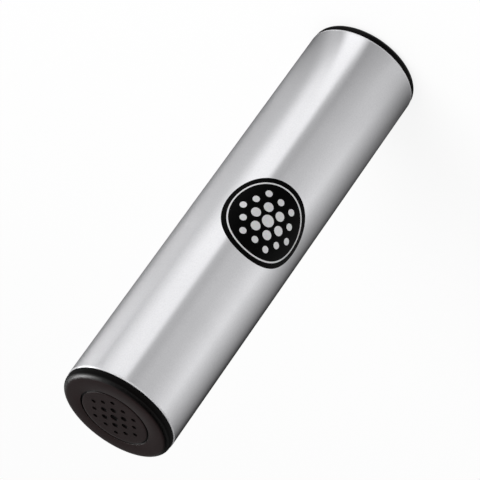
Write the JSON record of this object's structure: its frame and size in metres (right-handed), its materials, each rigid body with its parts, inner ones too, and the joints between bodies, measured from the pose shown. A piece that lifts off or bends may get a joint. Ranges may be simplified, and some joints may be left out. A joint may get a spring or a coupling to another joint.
{
  "type": "ganza shaker",
  "caption": "Upright tubular shaker: a thin aluminium tube closed by pressed-in ribbed plastic caps, with loose steel shot that runs end to end.",
  "frame": {"origin": "centre of the lower cap's outer face, which the shaker stands on", "axes": "+Z along the tube towards the upper cap, -Y through the printed patch"},
  "size_m": [0.06, 0.06, 0.2457],
  "materials": {
    "satin_aluminium": "satin, fine drawn grain",
    "black_moulding": "matte, finely textured moulding",
    "steel_shot": "tumbled bright"
  },
  "bodies": {
    "barrel": {"tube": "satin_aluminium", "top_cap": "black_moulding", "bottom_cap": "black_moulding"},
    "shot_ring_1": {"shot_ring_1_layer_1": "steel_shot", "shot_ring_1_layer_2": "steel_shot", "shot_ring_1_layer_3": "steel_shot"},
    "shot_ring_2": {"shot_ring_2_layer_1": "steel_shot", "shot_ring_2_layer_2": "steel_shot", "shot_ring_2_layer_3": "steel_shot"},
    "shot_ring_3": {"shot_ring_3_layer_1": "steel_shot", "shot_ring_3_layer_2": "steel_shot", "shot_ring_3_layer_3": "steel_shot"},
    "shot_ring_4": {"shot_ring_4_layer_1": "steel_shot", "shot_ring_4_layer_2": "steel_shot", "shot_ring_4_layer_3": "steel_shot"},
    "shot_ring_5": {"shot_ring_5_layer_1": "steel_shot", "shot_ring_5_layer_2": "steel_shot", "shot_ring_5_layer_3": "steel_shot"},
    "shot_ring_6": {"shot_ring_6_layer_1": "steel_shot", "shot_ring_6_layer_2": "steel_shot", "shot_ring_6_layer_3": "steel_shot"}
  },
  "joints": [
    {"name": "shot_ring_1_slide", "type": "slide", "parent": "barrel", "child": "shot_ring_1", "axis": [0, 0, 1], "range_m": [0, 0.2249]},
    {"name": "shot_ring_2_slide", "type": "slide", "parent": "barrel", "child": "shot_ring_2", "axis": [0, 0, 1], "range_m": [0, 0.2249]},
    {"name": "shot_ring_3_slide", "type": "slide", "parent": "barrel", "child": "shot_ring_3", "axis": [0, 0, 1], "range_m": [0, 0.2249]},
    {"name": "shot_ring_4_slide", "type": "slide", "parent": "barrel", "child": "shot_ring_4", "axis": [0, 0, 1], "range_m": [0, 0.2249]},
    {"name": "shot_ring_5_slide", "type": "slide", "parent": "barrel", "child": "shot_ring_5", "axis": [0, 0, 1], "range_m": [0, 0.2249]},
    {"name": "shot_ring_6_slide", "type": "slide", "parent": "barrel", "child": "shot_ring_6", "axis": [0, 0, 1], "range_m": [0, 0.2249]}
  ]
}
